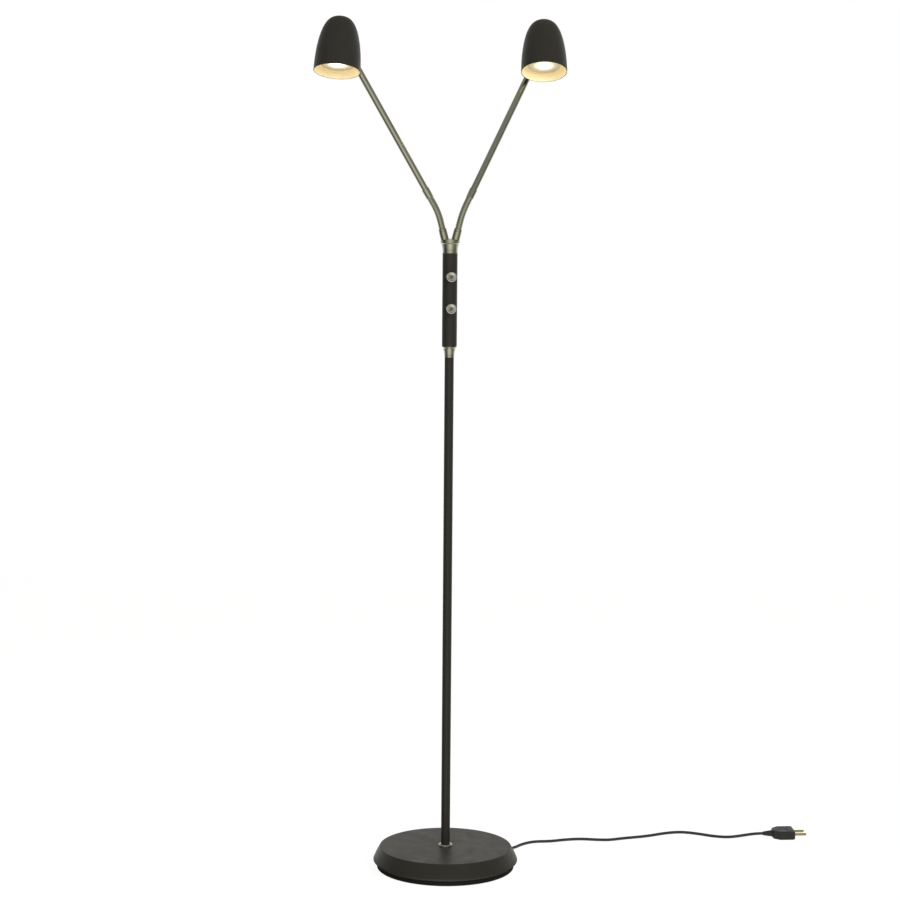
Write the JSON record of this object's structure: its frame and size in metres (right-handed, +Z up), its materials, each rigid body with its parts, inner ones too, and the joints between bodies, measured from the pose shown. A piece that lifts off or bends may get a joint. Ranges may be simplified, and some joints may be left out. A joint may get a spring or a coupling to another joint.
{
  "type": "twin-head floor lamp",
  "caption": "Slim floor lamp on a round weighted base, with two bell-shaped reading shades on arms, each with a gooseneck, a tilting knuckle and its own dimmer knob.",
  "frame": {"origin": "middle of the base's felt pad, on the floor", "axes": "+Z up along the pole, +X to the right and +Y to the back, seen from the knobs' side"},
  "size_m": [0.7887, 0.3113, 1.3094],
  "materials": {
    "black_metal": "charcoal-black satin powder paint",
    "chrome": "polished chrome plating",
    "steel": "plain turned steel",
    "zinc": "zinc-plated sheet and tube",
    "iron": "raw sand-cast iron",
    "felt": "black needle felt",
    "black_rubber": "matt black rubber",
    "black_plastic": "moulded black plastic",
    "cord": "smooth black flexible jacket",
    "cord_tie": "black strap",
    "ceramic": "unglazed white ceramic",
    "lamp_white": "white reflector lamp body",
    "lamp_glass": "clear front lens",
    "brass": "nickel-plated brass contact pins"
  },
  "bodies": {
    "base": {"floor_pad": "felt", "under_plate": "zinc", "plate_screws": "steel", "foot_ring": "black_rubber", "ballast": "iron", "base_cover": "black_metal", "pole_nipple": "zinc", "flange_nut": "zinc", "foot_collar": "chrome", "lower_pole": "black_metal", "upper_pole": "black_metal", "pole_joiner": "zinc", "reducer_cone": "chrome", "grip_sleeve": "black_metal", "dimmers": "black_plastic", "dimmer_nuts": "steel", "hub": "chrome", "inner_cable": "cord", "cord_grip": "cord", "cord_lead": "cord", "cord_coil": "cord", "cord_tie": "cord_tie", "cord_run": "cord", "plug_body": "black_plastic", "plug_pins": "brass"},
    "lower_dial": {"lower_shaft": "steel", "lower_knob": "chrome"},
    "upper_dial": {"upper_shaft": "steel", "upper_knob": "chrome"},
    "left_neck": {"left_ferrule": "chrome", "left_gooseneck": "chrome"},
    "left_arm": {"left_collar": "chrome", "left_arm_tube": "chrome", "left_knuckle_fork": "chrome", "left_knuckle_pin": "chrome"},
    "left_tilt": {"left_knuckle_tongue": "chrome"},
    "left_head": {"left_shade": "black_metal", "left_shade_stud": "steel", "left_stud_nut": "steel", "left_holder_bracket": "zinc", "left_lamp_holder": "ceramic", "left_lamp_body": "lamp_white", "left_lamp_lens": "lamp_glass", "left_lamp_pins": "brass"},
    "right_neck": {"right_ferrule": "chrome", "right_gooseneck": "chrome"},
    "right_arm": {"right_collar": "chrome", "right_arm_tube": "chrome", "right_knuckle_fork": "chrome", "right_knuckle_pin": "chrome"},
    "right_tilt": {"right_knuckle_tongue": "chrome"},
    "right_head": {"right_shade": "black_metal", "right_shade_stud": "steel", "right_stud_nut": "steel", "right_holder_bracket": "zinc", "right_lamp_holder": "ceramic", "right_lamp_body": "lamp_white", "right_lamp_lens": "lamp_glass", "right_lamp_pins": "brass"}
  },
  "joints": [
    {"name": "lower_dimmer_turn", "type": "hinge", "parent": "base", "child": "lower_dial", "pos_m": [0, 0, 0.8744], "axis": [0.1045, -0.9945, 0], "range_deg": [-225, 45]},
    {"name": "upper_dimmer_turn", "type": "hinge", "parent": "base", "child": "upper_dial", "pos_m": [0, 0, 0.9224], "axis": [0.1045, -0.9945, 0], "range_deg": [-225, 45]},
    {"name": "left_neck_turn", "type": "hinge", "parent": "base", "child": "left_neck", "pos_m": [-0.008, 0, 0.97701], "axis": [-0.2419, 0, 0.9703], "range_deg": [-60, 60]},
    {"name": "left_neck_bend", "type": "hinge", "parent": "left_neck", "child": "left_arm", "pos_m": [-0.01806, 0, 1.01736], "axis": [0, -1, 0], "range_deg": [-15, 44], "deforming": ["left_gooseneck"]},
    {"name": "left_head_tilt", "type": "hinge", "parent": "left_arm", "child": "left_tilt", "pos_m": [-0.15049, 0, 1.24954], "axis": [0.8557, -0.1722, 0.4881], "range_deg": [-60, 28]},
    {"name": "left_head_turn", "type": "hinge", "parent": "left_tilt", "child": "left_head", "pos_m": [-0.15049, 0, 1.24954], "axis": [-0.3657, -0.8685, 0.3348], "range_deg": [-150, 150]},
    {"name": "right_neck_turn", "type": "hinge", "parent": "base", "child": "right_neck", "pos_m": [0.008, 0, 0.97701], "axis": [0.2419, 0, 0.9703], "range_deg": [-60, 60]},
    {"name": "right_neck_bend", "type": "hinge", "parent": "right_neck", "child": "right_arm", "pos_m": [0.01809, 0, 1.01746], "axis": [-0.8421, 0.4968, 0.2099], "range_deg": [-22, 37], "deforming": ["right_gooseneck"]},
    {"name": "right_head_tilt", "type": "hinge", "parent": "right_arm", "child": "right_tilt", "pos_m": [0.12768, 0.08994, 1.24418], "axis": [0.8937, 0.0381, -0.4471], "range_deg": [-79, 10]},
    {"name": "right_head_turn", "type": "hinge", "parent": "right_tilt", "child": "right_head", "pos_m": [0.12768, 0.08994, 1.24418], "axis": [0.2551, -0.8629, 0.4363], "range_deg": [-150, 150]}
  ]
}
